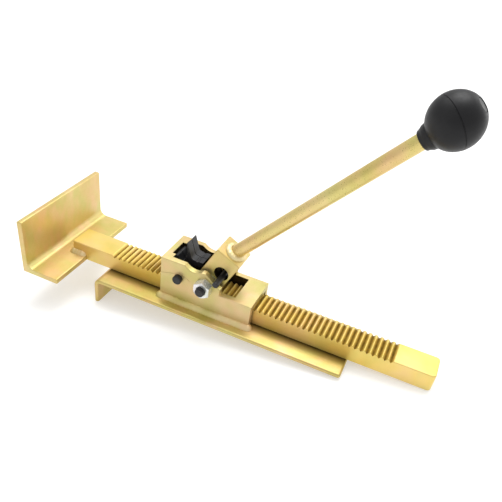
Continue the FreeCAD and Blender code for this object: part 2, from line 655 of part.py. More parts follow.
def check_document():
    """Stop if anything failed to recompute or any sub-part isn't a sound solid."""
    doc.removeObject("scratch")
    doc.recompute()
    for item in doc.Objects:
        if "Invalid" in item.State or "Error" in item.State:
            raise RuntimeError(f"{item.Label} failed: {item.State}")
    for part in sub_parts:
        if part.Shape.isNull() or not part.Shape.isValid() or not part.Shape.Solids:
            raise RuntimeError(f"{part.Label} has no sound shape")


def export_parts():
    os.makedirs("parts", exist_ok=True)
    for part in sub_parts:
        part.Shape.exportStep(os.path.join("parts", part.Label + ".step"))


make_base_plate()
make_housing()
make_housing_welds()
make_pivot_hardware()
make_hold_pin()
make_hold_spring()
make_rack_bar()
make_pusher()
make_pusher_welds()
make_lever_block()
make_handle_rod()
make_handle_weld()
make_knob()
make_drive_pawl()
make_drive_spring()
make_hold_pawls()
check_document()
export_parts()
for part in sub_parts:
    print(part.Label, len(part.Shape.Solids), round(part.Shape.Volume, 1), "mm3")
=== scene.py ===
import json
import math

import bmesh
import bpy
from mathutils import Matrix, Vector, noise


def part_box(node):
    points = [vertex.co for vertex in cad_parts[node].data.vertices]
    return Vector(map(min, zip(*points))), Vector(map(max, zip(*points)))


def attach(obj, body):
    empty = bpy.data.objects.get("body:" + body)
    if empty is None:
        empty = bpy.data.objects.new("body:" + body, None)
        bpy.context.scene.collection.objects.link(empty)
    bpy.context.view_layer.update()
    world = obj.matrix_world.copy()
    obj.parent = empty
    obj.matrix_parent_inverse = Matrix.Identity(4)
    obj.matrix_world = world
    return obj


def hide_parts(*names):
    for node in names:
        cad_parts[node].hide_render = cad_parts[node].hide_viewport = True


# Looks for the ratchet floor jack. Metres, the CAD's own frame.

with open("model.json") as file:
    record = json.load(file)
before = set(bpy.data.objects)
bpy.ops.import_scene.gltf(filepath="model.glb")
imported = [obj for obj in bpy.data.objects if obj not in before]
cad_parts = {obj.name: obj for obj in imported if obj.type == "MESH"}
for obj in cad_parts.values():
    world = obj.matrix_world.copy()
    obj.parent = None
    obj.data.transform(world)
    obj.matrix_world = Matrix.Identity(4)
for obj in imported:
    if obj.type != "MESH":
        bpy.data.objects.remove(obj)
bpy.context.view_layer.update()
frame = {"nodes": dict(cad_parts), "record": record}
MM = 0.001
scene = bpy.context.scene


def middle(node):
    low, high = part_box(node)
    return (low + high) / 2


# ------------------------------------------------------------------ materials

def node_tree(name):
    material = bpy.data.materials.new(name)
    material.use_nodes = True
    nodes = material.node_tree.nodes
    return material, nodes, material.node_tree.links, nodes["Principled BSDF"]


def object_noise(nodes, links, scale, detail, stretch=(1, 1, 1)):
    """Noise on the piece's own coordinates, stretched along chosen axes."""
    coordinates = nodes.new("ShaderNodeTexCoord")
    mapping = nodes.new("ShaderNodeMapping")
    mapping.inputs["Scale"].default_value = stretch
    texture = nodes.new("ShaderNodeTexNoise")
    texture.inputs["Scale"].default_value = scale
    texture.inputs["Detail"].default_value = detail
    texture.inputs["Roughness"].default_value = 0.6
    links.new(coordinates.outputs["Object"], mapping.inputs["Vector"])
    links.new(mapping.outputs["Vector"], texture.inputs["Vector"])
    return texture


def ramp(nodes, links, source, stops):
    """Colour ramp over a noise: stops are (place, colour)."""
    node = nodes.new("ShaderNodeValToRGB")
    elements = node.color_ramp.elements
    while len(elements) < len(stops):
        elements.new(0.5)
    for element, (place, colour) in zip(elements, stops):
        element.position = place
        element.color = (*colour, 1)
    links.new(source.outputs["Fac"], node.inputs["Fac"])
    return node


def blend_colours(nodes, links, first, second, factor):
    node = nodes.new("ShaderNodeMix")
    node.data_type = "RGBA"
    links.new(first, node.inputs["A"])
    links.new(second, node.inputs["B"])
    if isinstance(factor, float):
        node.inputs["Factor"].default_value = factor
    else:
        links.new(factor, node.inputs["Factor"])
    return node.outputs["Result"]


def spread(nodes, links, source, low, high):
    """Maps a noise onto a range of plain values."""
    node = nodes.new("ShaderNodeMapRange")
    node.inputs["From Min"].default_value = 0.3
    node.inputs["From Max"].default_value = 0.7
    node.inputs["To Min"].default_value = low
    node.inputs["To Max"].default_value = high
    links.new(source.outputs["Fac"], node.inputs["Value"])
    return node.outputs["Result"]


def relief(nodes, links, source, strength, distance):
    node = nodes.new("ShaderNodeBump")
    node.inputs["Strength"].default_value = strength
    node.inputs["Distance"].default_value = distance
    links.new(source.outputs["Fac"], node.inputs["Height"])
    return node.outputs["Normal"]


def passivate(name, pale, mid, deep, grain=(1, 1, 1), rough=(0.34, 0.46), speck=0.14,
              tinted=0.42):
    """Yellow zinc: drifting gold with faint pink and green tints over a fine grain."""
    material, nodes, links, shader = node_tree(name)
    drift = object_noise(nodes, links, 16, 3)
    body = ramp(nodes, links, drift, [(0.32, deep), (0.5, mid), (0.68, pale)])
    tint = object_noise(nodes, links, 34, 2, (1, 1.3, 0.8))
    hues = ramp(nodes, links, tint, [(0.36, TINT_GREEN), (0.5, mid), (0.66, TINT_PINK)])
    colour = blend_colours(nodes, links, body.outputs["Color"], hues.outputs["Color"], tinted)
    fine = object_noise(nodes, links, 900, 3, grain)
    specks = ramp(nodes, links, fine, [(0.35, deep), (0.6, pale)])
    colour = blend_colours(nodes, links, colour, specks.outputs["Color"], speck)
    links.new(colour, shader.inputs["Base Color"])
    shader.inputs["Metallic"].default_value = 0.72
    links.new(spread(nodes, links, fine, *rough), shader.inputs["Roughness"])
    links.new(relief(nodes, links, fine, 0.18, 0.00004), shader.inputs["Normal"])
    return material


def math_node(nodes, links, operation, first, second):
    node = nodes.new("ShaderNodeMath")
    node.operation = operation
    for socket, value in zip(node.inputs, (first, second)):
        if isinstance(value, (int, float)):
            socket.default_value = value
        else:
            links.new(value, socket)
    return node.outputs[0]


def split_place(nodes, links):
    """X, Y and Z of the piece's own coordinates."""
    coordinates = nodes.new("ShaderNodeTexCoord")
    split = nodes.new("ShaderNodeSeparateXYZ")
    links.new(coordinates.outputs["Object"], split.inputs[0])
    return split.outputs


def fade(nodes, links, value, start, end):
    """0 before start and 1 after end; start may be the larger of the two."""
    node = nodes.new("ShaderNodeMapRange")
    node.inputs["From Min"].default_value = start
    node.inputs["From Max"].default_value = end
    links.new(value, node.inputs["Value"])
    return node.outputs["Result"]


def paint_shade(material, mask_of, deep, lighter, speck_scale=160):
    """Painted shade: blend a mottled darker colour into a material where a mask of the place says
    so.
    """
    nodes, links = material.node_tree.nodes, material.node_tree.links
    shader = nodes["Principled BSDF"]
    mask = mask_of(nodes, links, split_place(nodes, links))
    # Mottled noise that breaks up the painted shade.
    shade_mottle = object_noise(nodes, links, speck_scale, 3)
    dark = ramp(nodes, links, shade_mottle, [(0.35, deep), (0.7, lighter)])
    gold = shader.inputs["Base Color"].links[0].from_socket
    colour = blend_colours(nodes, links, gold, dark.outputs["Color"], mask)
    links.new(colour, shader.inputs["Base Color"])
    return material


def product(nodes, links, *values):
    """Multiply several masks."""
    total = values[0]
    for value in values[1:]:
        total = math_node(nodes, links, "MULTIPLY", total, value)
    return total


def between(nodes, links, value, low, high):
    """1 where a value lies between two limits, 0 elsewhere."""
    return product(nodes, links, math_node(nodes, links, "GREATER_THAN", value, low),
                   math_node(nodes, links, "LESS_THAN", value, high))


def inside_housing(nodes, links, place):
    """Painted shade on the faces inside the housing's walls, below the rims of its two windows."""
    low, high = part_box("ratchet_housing")
    bar_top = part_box("rack_bar")[1].z
    wall, rim, end = 6.4 * MM, 0.9 * MM, 0.8 * MM
    step = low.x + 68.2 * MM
    inside = between(nodes, links, place["Y"], low.y + wall, high.y - wall)
    along_guide = between(nodes, links, place["X"], low.x + end, high.x - end)
    under_guide = between(nodes, links, place["Z"], low.z - end, bar_top + 7 * MM)
    in_tall_half = between(nodes, links, place["X"], low.x + end, step)
    under_top = between(nodes, links, place["Z"], low.z - end, high.z - rim)
    under = math_node(nodes, links, "MAXIMUM", product(nodes, links, along_guide, under_guide),
                      product(nodes, links, in_tall_half, under_top))
    return product(nodes, links, inside, under)


def tooth_gaps(nodes, links, place):
    """Painted shade, deeper towards the bottoms of the rack's gaps, none on the crests or the bar's
    sides.
    """
    low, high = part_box("rack_bar")
    inside = between(nodes, links, place["Y"], low.y + 0.15 * MM, high.y - 0.15 * MM)
    toothed = between(nodes, links, place["X"], low.x + 45 * MM, high.x - 35 * MM)
    above = between(nodes, links, place["Z"], high.z - 4 * MM, high.z + 1 * MM)
    deep = fade(nodes, links, place["Z"], high.z - 0.25 * MM, high.z - 2.6 * MM)
    return product(nodes, links, inside, toothed, above, deep)


def release_hole(nodes, links, place):
    """Painted shade on the walls of the block's round hole and of the slot seen through it."""
    pin = middle("release_pin")
    low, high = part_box("lever_block")
    across = math_node(nodes, links, "SUBTRACT", place["X"], pin.x - 1.5 * MM)
    up = math_node(nodes, links, "SUBTRACT", place["Z"], pin.z + 3.1 * MM)
    square = math_node(nodes, links, "ADD", math_node(nodes, links, "POWER", across, 2),
                       math_node(nodes, links, "POWER", up, 2))
    inside = math_node(nodes, links, "LESS_THAN", square, (8.35 * MM) ** 2)
    behind = between(nodes, links, place["Y"], low.y + 0.6 * MM, high.y - 6.5 * MM)
    return product(nodes, links, inside, behind)


def beside_bar(nodes, links, place):
    """Painted shadow and dark reflection of the bar on the base plate: under the bar and fading out
    a little beside it.
    """
    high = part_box("rack_bar")[1]
    plate_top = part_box("base_plate")[1].z
    side = math_node(nodes, links, "ABSOLUTE", place["Y"], 0)
    near = fade(nodes, links, side, high.y + 11 * MM, high.y + 1 * MM)
    top = math_node(nodes, links, "GREATER_THAN", place["Z"], plate_top - 0.3 * MM)
    return product(nodes, links, near, top)


def blackened(name, dark, worn, metal, rough, grain_scale=700, gloss=0.5):
    """Black oxide steel or moulded black, with a faint grain and lighter rubbed places."""
    material, nodes, links, shader = node_tree(name)
    drift = object_noise(nodes, links, 45, 4)
    colour = ramp(nodes, links, drift, [(0.45, dark), (0.72, worn)])
    links.new(colour.outputs["Color"], shader.inputs["Base Color"])
    shader.inputs["Metallic"].default_value = metal
    shader.inputs["Specular IOR Level"].default_value = gloss
    fine = object_noise(nodes, links, grain_scale, 3)
    links.new(spread(nodes, links, fine, *rough), shader.inputs["Roughness"])
    links.new(relief(nodes, links, fine, 0.15, 0.00005), shader.inputs["Normal"])
    return material


TINT_GREEN = (0.50, 0.52, 0.13)
TINT_PINK = (0.80, 0.47, 0.30)
GOLD = passivate("zinc_gold", (0.76, 0.63, 0.34), (0.66, 0.51, 0.20), (0.56, 0.40, 0.11))
# Bar zinc with painted shade in the bottoms of the rack's tooth gaps.
BAR_GOLD = paint_shade(
    passivate("zinc_bar", (0.86, 0.65, 0.24), (0.80, 0.58, 0.15), (0.72, 0.48, 0.09),
              grain=(0.4, 1.4, 1.4), rough=(0.3, 0.4), speck=0.03, tinted=0.25),
    tooth_gaps, (0.20, 0.12, 0.012), (0.34, 0.22, 0.03))
# Plate zinc with the bar's painted shadow and dark reflection under and beside it.
PLATE_GOLD = paint_shade(
    passivate("zinc_plate", (0.66, 0.53, 0.23), (0.57, 0.44, 0.14), (0.48, 0.34, 0.08)),
    beside_bar, (0.13, 0.095, 0.025), (0.19, 0.145, 0.045), 45)
ROD_GOLD = passivate("zinc_rod", (0.76, 0.62, 0.30), (0.68, 0.53, 0.20), (0.57, 0.40, 0.12),
                     rough=(0.26, 0.38))
WELD_GOLD = passivate("zinc_weld", (0.84, 0.72, 0.42), (0.72, 0.58, 0.27), (0.56, 0.41, 0.14),
                      rough=(0.3, 0.5))
BLACK_OXIDE = blackened("black_oxide", (0.012, 0.012, 0.013), (0.035, 0.035, 0.037), 0.3,
                        (0.3, 0.45))
BALL_BLACK = blackened("ball_black", (0.008, 0.008, 0.009), (0.014, 0.014, 0.015), 0.0,
                       (0.38, 0.48), grain_scale=420, gloss=0.25)
BRIGHT = passivate("zinc_bright", (0.88, 0.89, 0.9), (0.78, 0.79, 0.81), (0.66, 0.68, 0.7),
                   rough=(0.16, 0.3))
SPRING = blackened("spring_steel", (0.03, 0.03, 0.032), (0.09, 0.09, 0.092), 0.6, (0.3, 0.45))
BRASS = passivate("brass", (0.85, 0.68, 0.36), (0.78, 0.58, 0.28), (0.66, 0.46, 0.18),
                  rough=(0.2, 0.32))

# Housing zinc with painted shade, near-black, on the faces inside its walls.
HOUSING_GOLD = paint_shade(
    passivate("zinc_housing", (0.72, 0.61, 0.33), (0.62, 0.50, 0.22), (0.52, 0.40, 0.14)),
    inside_housing, (0.035, 0.024, 0.010), (0.09, 0.065, 0.03))
# Block zinc with painted shade, near-black, on the walls of the release hole and slot.
BLOCK_GOLD = paint_shade(
    passivate("zinc_block", (0.76, 0.63, 0.34), (0.66, 0.51, 0.20), (0.56, 0.40, 0.11)),
    release_hole, (0.020, 0.014, 0.006), (0.05, 0.035, 0.015))
FOOT_WELD = passivate("zinc_foot_weld", (0.79, 0.67, 0.36), (0.71, 0.58, 0.25), (0.58, 0.44, 0.15),
                      rough=(0.38, 0.55), speck=0.1)
SOFT_WELD = passivate("zinc_soft_weld", (0.86, 0.76, 0.46), (0.80, 0.68, 0.37), (0.72, 0.58, 0.28),
                      rough=(0.4, 0.55), speck=0.08)

LOOK = {"gold_zinc": GOLD, "weld_gold": WELD_GOLD, "rack_gold": BAR_GOLD,
        "black_oxide": BLACK_OXIDE, "bright_zinc": BRIGHT, "spring_steel": SPRING,
        "knob_black": BALL_BLACK, "insert_brass": BRASS}
SLOT_OF = {s["node"]: s["material_slot"] for s in frame["record"]["subparts"]}
BODY_OF = {n: b for b, ns in frame["record"]["behaviour"]["bodies"].items() for n in ns}


# ------------------------------------------------------------------- geometry

def link(name, mesh):
    made = bpy.data.objects.new(name, mesh)
    scene.collection.objects.link(made)
    return made


def shade(made, angle=32):
    """Smooth faces, with edges over an angle kept sharp."""
    mesh = made.data
    mesh.shade_smooth()
    mesh.set_sharp_from_angle(angle=math.radians(angle))


def stand_in(made, node, material=None, replaces=None):
    """Give a made piece its look, slot and body, and hide the CAD node it stands for."""
    made.data.materials.clear()
    made.data.materials.append(material or LOOK[SLOT_OF[node]])
    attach(made, BODY_OF[node])
    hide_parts(*(replaces or [node]))
    return made


def softened(node, width, material=None, segments=2, angle=32):
    """A copy of a CAD node with small rounds on its sharp edges."""
    source = frame["nodes"][node]
    mesh = source.data.copy()
    for attribute in [a for a in mesh.attributes if a.name == "custom_normal"]:
        mesh.attributes.remove(attribute)
    work = bmesh.new()
    work.from_mesh(mesh)
    bmesh.ops.remove_doubles(work, verts=work.verts, dist=2e-6)
    bmesh.ops.dissolve_limit(work, angle_limit=math.radians(0.5), verts=work.verts,
                             edges=work.edges, use_dissolve_boundaries=False)
    for edge in work.edges:
        sharp = len(edge.link_faces) == 2 and edge.calc_face_angle(0) > math.radians(angle)
        edge.smooth = not sharp
    work.to_mesh(mesh)
    work.free()
    made = link(node + "_soft", mesh)
    bevel = made.modifiers.new("edges", "BEVEL")
    bevel.width = width * MM
    bevel.segments = segments
    bevel.limit_method = "ANGLE"
    bevel.angle_limit = math.radians(angle)
    bevel.use_clamp_overlap = True
    bevel.harden_normals = True
    shade(made, angle)
    return stand_in(made, node, material)


def along_axis(origin, direction):
    """Frame with Z along a direction in the XZ plane and Y kept."""
    z = direction.normalized()
    y = Vector((0, 1, 0))
    x = y.cross(z).normalized()
    rotation = Matrix((x, y, z)).transposed().to_4x4()
    return Matrix.Translation(origin) @ rotation


def turned(name, profile, place, steps=128):
    """Turn (radius, height) points in mm about the frame's Z axis. Radius 0 closes an end."""
    work = bmesh.new()
    rings = []
    for radius, height in profile:
        if radius == 0:
            rings.append([work.verts.new((0, 0, height * MM))])
            continue
        ring = []
        for k in range(steps):
            a = 2 * math.pi * k / steps
            ring.append(work.verts.new((radius * math.cos(a) * MM, radius * math.sin(a) * MM,
                                        height * MM)))
        rings.append(ring)
    join_rings(work, rings)
    return finish_mesh(name, work, place)


def join_rings(work, rings):
    """Skin neighbouring rings; a ring of one vertex closes as a fan."""
    for low, high in zip(rings, rings[1:]):
        count = max(len(low), len(high))
        for k in range(count):
            following = (k + 1) % count
            if len(low) == 1:
                work.faces.new((low[0], high[following], high[k]))
            elif len(high) == 1:
                work.faces.new((low[k], low[following], high[0]))
            else:
                work.faces.new((low[k], low[following], high[following], high[k]))


def finish_mesh(name, work, place):
    bmesh.ops.recalc_face_normals(work, faces=work.faces)
    mesh = bpy.data.meshes.new(name)
    work.to_mesh(mesh)
    work.free()
    mesh.transform(place)
    return link(name, mesh)


def arc_points(radius, centre, start, end, count):
    """Points of an arc about the turning axis, angles in degrees from the +height direction."""
    points = []
    for k in range(count + 1):
        a = math.radians(start + (end - start) * k / count)
        points.append((radius * math.sin(a), centre + radius * math.cos(a)))
    return points


def carve(made, tool):
    """Cut a tool out of a piece, keep the result as plain mesh and drop the tool."""
    cut = made.modifiers.new("cut", "BOOLEAN")
    cut.operation = "DIFFERENCE"
    cut.solver = "EXACT"
    cut.object = tool
    graph = bpy.context.evaluated_depsgraph_get()
    made.data = bpy.data.meshes.new_from_object(made.evaluated_get(graph))
    made.modifiers.clear()
    bpy.data.objects.remove(tool)


# ------------------------------------------------------- handle, knob, weld

INSERT_HEIGHT = 225.0
insert_centre = middle("knob_insert")
axis = (middle("knob_plug") - insert_centre).normalized()
handle_foot = insert_centre - axis * INSERT_HEIGHT * MM
handle = along_axis(handle_foot, axis)
LEAN = math.radians(14.2)
ROD_RADIUS = 7.0
ROD_TOP = 210.0
BALL_CENTRE = 236.1
BALL_RADIUS = 22.1
SEAM_OFFSET = -3.4
SEAM_TILT = math.radians(32.5)
SEAM_TURN = math.radians(68)


def make_rod():
    """Drawn rod: slanted foot, a faint flare just above it and a flat closed top under the knob."""
    steps = 96
    work = bmesh.new()
    rings = []
    heights = [-0.01, 3, 6, 12, 25, 50, 90, 130, 170, 200, ROD_TOP]
    for number, height in enumerate(heights):
        ring = []
        for k in range(steps):
            a = 2 * math.pi * k / steps
            radius = ROD_RADIUS + 0.18 * math.exp(-height / 18)
            x, y = radius * math.cos(a), radius * math.sin(a)
            z = height + (x * math.tan(LEAN) if number == 0 else 0)
            if number in (1, 2):
                z += x * math.tan(LEAN) * (1 - number / 3)
            ring.append(work.verts.new((x * MM, y * MM, z * MM)))
        rings.append(ring)
    rings.insert(0, [work.verts.new((0, 0, 0))])
    rings.append([work.verts.new((0, 0, ROD_TOP * MM))])
    join_rings(work, rings)
    rod = finish_mesh("rod", work, handle)
    shade(rod, 40)
    return stand_in(rod, "handle_rod", ROD_GOLD)


def seam_ring():
    """Thin ring on the ball's surface, in a plane that leans away from square to the handle."""
    steps, sides, thin = 200, 12, 0.5
    wide = math.sqrt(BALL_RADIUS ** 2 - SEAM_OFFSET ** 2)
    work = bmesh.new()
    rows = []
    for k in range(steps):
        a = 2 * math.pi * k / steps
        row = []
        for j in range(sides):
            b = 2 * math.pi * j / sides
            reach = (wide + thin * math.cos(b)) * MM
            row.append(work.verts.new((reach * math.cos(a), reach * math.sin(a),
                                       thin * math.sin(b) * MM)))
        rows.append(row)
    join_rings(work, rows + rows[:1])
    lean = Matrix.Rotation(SEAM_TURN, 4, "Z") @ Matrix.Rotation(SEAM_TILT, 4, "Y")
    place = (handle @ Matrix.Translation((0, 0, BALL_CENTRE * MM)) @ lean
             @ Matrix.Translation((0, 0, SEAM_OFFSET * MM)))
    return finish_mesh("seam", work, place)


def make_knob():
    """Ball with a waisted neck, a slanting parting seam and a flat round its plug."""
    neck_foot = 208.9
    profile = [(ROD_RADIUS + 0.05, neck_foot + 3), (ROD_RADIUS + 0.1, neck_foot),
               (8.3, neck_foot), (8.7, neck_foot + 0.35)]
    profile += [(8.8 + 0.14 * k + 0.045 * k * k, neck_foot + 0.6 + 0.82 * k) for k in range(1, 6)]
    profile += arc_points(BALL_RADIUS, BALL_CENTRE, 149, 17.5, 70)
    top = BALL_CENTRE + BALL_RADIUS * math.cos(math.radians(16.6))
    profile += [(6.35, top - 0.25), (6.15, top - 0.9), (6.1, top - 2.6), (0, top - 2.6)]
    knob = turned("ball_knob", profile, handle, 160)
    carve(knob, seam_ring())
    shade(knob, 28)
    stand_in(knob, "knob")
    outline = [(0, top - 2.5), (5.7, top - 2.5), (5.9, top - 2.2), (5.9, top - 0.95),
               (5.65, top - 0.62), (4.9, top - 0.55), (0, top - 0.7)]
    plug = turned("ball_plug", outline, handle, 96)
    shade(plug, 28)
    return stand_in(plug, "knob_plug")


def ring_bead(name, place, inner, reach, rise, ripples, seed):
    """A lumpy weld ring: a rounded roll with overlapping ripples."""
    steps, across = 180, 12
    work = bmesh.new()
    rows = []
    for k in range(steps):
        a = 2 * math.pi * k / steps
        lump = noise.noise(Vector((math.cos(a) * 2.2 + seed, math.sin(a) * 2.2, seed)))
        wave = abs(math.sin(ripples * a / 2 + 0.6 * lump))
        wide = reach * (1 + 0.16 * lump + 0.025 * wave)
        high = rise * (1 + 0.1 * lump + 0.03 * wave)
        row = []
        for j in range(across + 1):
            b = math.radians(90 * j / across)
            radius = inner - 0.15 + wide * math.cos(b) ** 0.8
            height = high * math.sin(b) ** 0.9
            row.append(work.verts.new((radius * math.cos(a) * MM, radius * math.sin(a) * MM,
                                       height * MM)))
        row.append(work.verts.new(((inner - 0.15) * math.cos(a) * MM,
                                   (inner - 0.15) * math.sin(a) * MM, 0)))
        rows.append(row)
    for k in range(steps):
        first, second = rows[k], rows[(k + 1) % steps]
        for j in range(len(first)):
            i = (j + 1) % len(first)
            work.faces.new((first[j], second[j], second[i], first[i]))
    return finish_mesh(name, work, place)


def make_handle_weld():
    normal = Matrix.Rotation(-LEAN, 3, "Y") @ axis
    seat = along_axis(handle_foot, normal)
    bead = ring_bead("handle_bead", seat, ROD_RADIUS, 5.0, 3.7, 17, 3.1)
    shade(bead, 60)
    return stand_in(bead, "handle_weld", SOFT_WELD)


def rounded_path(corners, radius, pitch=0.4):
    """Evenly spaced points along a path in XY with rounded corners, each with its left normal."""
    dense = []
    for number, corner in enumerate(corners):
        here = Vector(corner)
        if number in (0, len(corners) - 1):
            dense.append(here)
            continue
        before = (Vector(corners[number - 1]) - here).normalized()
        after = (Vector(corners[number + 1]) - here).normalized()
        for k in range(9):
            t = k / 8
            dense.append(here + before * radius * (1 - t) ** 2 + after * radius * t ** 2)
    path = []
    travelled = 0.0
    for first, second in zip(dense, dense[1:]):
        span = second - first
        count = max(1, int(span.length / pitch))
        tangent = span.normalized()
        for k in range(count):
            path.append((first + span * k / count, Vector((-tangent.y, tangent.x)),
                         travelled + span.length * k / count))
        travelled += span.length
    path.append((dense[-1], path[-1][1], travelled))
    smooth = []
    for k, (point, _, far) in enumerate(path):
        total = Vector((0, 0))
        for other in path[max(0, k - 4):k + 5]:
            total += other[1]
        smooth.append((point, total.normalized(), far))
    return smooth


def swept_bead(corners, leg, side, ripple, seed, base_z, hollow=2.2, bend=1.0):
    """A rippled fillet weld along a path; side 1 or -1 puts it left or right of the path."""
    path = rounded_path(corners, bend)
    length = path[-1][2]
    across = 9
    work = bmesh.new()
    rows = []
    for point, normal, far in path:
        end = min(far, length - far)
        grow = 0.25 + 0.75 * math.sqrt(min(1.0, end / leg))
        lump = noise.noise(Vector((far * 0.12, seed, 0)))
        wave = abs(math.sin(math.pi * far / ripple + 0.7 * lump))
        size = leg * grow * (1 + 0.08 * lump + 0.045 * wave)
        row = [(-0.05, 0)]
        for j in range(across + 1):
            b = math.radians(90 * j / across)
            row.append((size * math.cos(b) ** hollow, size * math.sin(b) ** hollow))
        row[-1] = (-0.05, row[-1][1])
        rows.append([work.verts.new(((point.x + side * normal.x * out) * MM,
                                     (point.y + side * normal.y * out) * MM,
                                     (base_z + z) * MM)) for out, z in row])
    for first, second in zip(rows, rows[1:]):
        for j in range(len(first)):
            i = (j + 1) % len(first)
            work.faces.new((first[j], second[j], second[i], first[i]))
    work.faces.new(rows[0])
    work.faces.new(list(reversed(rows[-1])))
    return work


def joined(name, works):
    """Several bmesh pieces as one object."""
    mesh = bpy.data.meshes.new(name)
    whole = bmesh.new()
    for work in works:
        part = bpy.data.meshes.new("part")
        bmesh.ops.recalc_face_normals(work, faces=work.faces)
        work.to_mesh(part)
        work.free()
        whole.from_mesh(part)
        bpy.data.meshes.remove(part)
    whole.to_mesh(mesh)
    whole.free()
    return link(name, mesh)


def pressed_line(left, pin_x, pin_z):
    """A straight tail, a round arc over the pin and a shorter straight tail, in the XZ plane."""
    arc_radius, arc_shift, tail, steps = 6.5, 2.5, 8.5, 10
    rise, fall = math.radians(16), math.radians(30)
    centre = Vector((pin_x + arc_shift, pin_z))
    line = []
    for k in range(steps + 1):
        a = math.pi / 2 + rise - (rise + fall) * k / steps
        line.append(centre + Vector((math.cos(a), math.sin(a))) * arc_radius)
    reach = line[0].x - left
    start = line[0] - Vector((reach, reach * math.tan(rise)))
    end = line[-1] + Vector((math.cos(fall), -math.sin(fall))) * tail
    return [start] + line + [end]


def tube(name, line, y, radius, sides=10):
    """A thin round tube along a line in the XZ plane, at one Y."""
    work = bmesh.new()
    rings = [[work.verts.new((line[0].x * MM, y * MM, line[0].y * MM))]]
    for number, point in enumerate(line):
        low, high = line[max(0, number - 1)], line[min(len(line) - 1, number + 1)]
        tangent = (high - low).normalized()
        ring = []
        for k in range(sides):
            a = 2 * math.pi * k / sides
            out = radius * math.cos(a)
            ring.append(work.verts.new(((point.x - tangent.y * out) * MM,
                                        (y + radius * math.sin(a)) * MM,
                                        (point.y + tangent.x * out) * MM)))
        rings.append(ring)
    rings.append([work.verts.new((line[-1].x * MM, y * MM, line[-1].y * MM))])
    join_rings(work, rings)
    return finish_mesh(name, work, Matrix.Identity(4))


def make_housing():
    """The housing with softened edges and a shallow pressed line over the hold pawls' pin."""
    made = softened("ratchet_housing", 0.55, HOUSING_GOLD)
    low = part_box("ratchet_housing")[0]
    pin = middle("hold_pawl_pin")
    line = pressed_line(low.x / MM - 0.5, pin.x / MM, pin.z / MM)
    radius, depth = 0.65, 0.4
    tool = tube("pressed_line", line, low.y / MM + depth - radius, radius)
    carve(made, tool)
    return made


def make_housing_beads():
    """One bead at the foot of each housing wall, turned a little round the wall's ends."""
    low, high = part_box("ratchet_housing")
    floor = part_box("housing_welds")[0].z / MM
    x0, x1, y1 = low.x / MM, high.x / MM, high.y / MM
    works = []
    for side, seed in ((-1, 1.7), (1, 8.3)):
        y = side * y1
        inset = side * 5.5
        corners = [(x0, y - inset), (x0, y), (x1, y), (x1, y - inset)]
        works.append(swept_bead(corners, 5.0, side, 4.6, seed, floor, hollow=1.25))
    made = joined("housing_bead", works)
    shade(made, 50)
    return stand_in(made, "housing_welds", FOOT_WELD)


def make_pusher_beads():
    """Beads on the angle's leg along both sides of the bar, hooked round the bar's end."""
    bar_low, bar_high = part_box("rack_bar")
    weld_low, weld_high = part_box("pusher_welds")
    works = []
    for side, seed in ((-1, 4.4), (1, 6.9)):
        y = side * (bar_high.y / MM + 0.1)
        corners = [(bar_low.x / MM - 0.1, y - side * 8), (bar_low.x / MM - 0.1, y),
                   (weld_high.x / MM - 0.3, y)]
        works.append(swept_bead(corners, 4.6, side, 3.4, seed, weld_low.z / MM,
                                hollow=1.3, bend=1.6))
    made = joined("pusher_bead", works)
    shade(made, 50)
    return stand_in(made, "pusher_welds")


# ------------------------------------------------------------- nut and bolt

def hexagon_nut(name, place, flats, thickness, bore, steps=144, base=0.0):
    """Chamfered hexagon: the corners are turned down on both faces."""
    rim = flats / 2 * 0.97
    rings = []
    work = bmesh.new()

    def ring(radius, height):
        points = []
        for k in range(steps):
            a = 2 * math.pi * k / steps
            r = radius(a) if callable(radius) else radius
            h = height(a) if callable(height) else height
            points.append(work.verts.new((r * math.cos(a) * MM, r * math.sin(a) * MM,
                                          (base + h) * MM)))
        return points

    def hexagon(a):
        turn = (a + math.pi / 6) % (math.pi / 3) - math.pi / 6
        return flats / 2 / math.cos(turn)

    def drop(a):
        return max(0.0, hexagon(a) - rim) * math.tan(math.radians(30))

    rings.append(ring(bore + 0.5, 0) if bore else [work.verts.new((0, 0, base * MM))])
    rings.append(ring(rim, 0))
    rings.append(ring(hexagon, drop))
    rings.append(ring(hexagon, lambda a: thickness - drop(a)))
    rings.append(ring(rim, thickness))
    if bore:
        rings.append(ring(bore + 0.5, thickness))
        rings.append(ring(bore, thickness - 0.5))
        rings.append(ring(bore, 0.5))
        rings.append(rings[0])
    else:
        rings.append([work.verts.new((0, 0, (base + thickness) * MM))])
    join_rings(work, rings)
    return finish_mesh(name, work, place)


def make_nut_and_bolt():
    low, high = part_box("pivot_nut")
    centre = middle("pivot_nut")
    toward_viewer = along_y(Vector((centre.x, high.y, centre.z)), -1)
    nut = hexagon_nut("nut", toward_viewer, (high.z - low.z) / MM, (high.y - low.y) / MM, 5.0)
    shade(nut, 25)
    stand_in(nut, "pivot_nut")
    low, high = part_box("pivot_bolt")
    head = 6.5
    end = (high.y - low.y) / MM - head
    place = along_y(Vector((centre.x, high.y - head * MM, centre.z)), -1)
    pitch = 1.5
    profile = [(0, 0.0), (4.95, 0.0), (4.95, end - 10)]
    threaded = 9
    for k in range(int(threaded / pitch)):
        foot = end - 9.4 + k * pitch
        profile += [(4.92, foot), (4.92, foot + 0.12), (4.3, foot + 0.7), (4.3, foot + 0.9)]
    profile += [(4.85, end - 0.6), (4.2, end), (3.4, end), (3.1, end - 0.25), (0, end - 0.45)]
    shank = turned("bolt_shank", profile, place, 72)
    skull = hexagon_nut("bolt_head", along_y(Vector((centre.x, high.y - head * MM, centre.z)), 1),
                        17, head, 0)
    context = {"active_object": shank, "selected_editable_objects": [shank, skull]}
    with bpy.context.temp_override(**context):
        bpy.ops.object.join()
    shade(shank, 25)
    return stand_in(shank, "pivot_bolt")


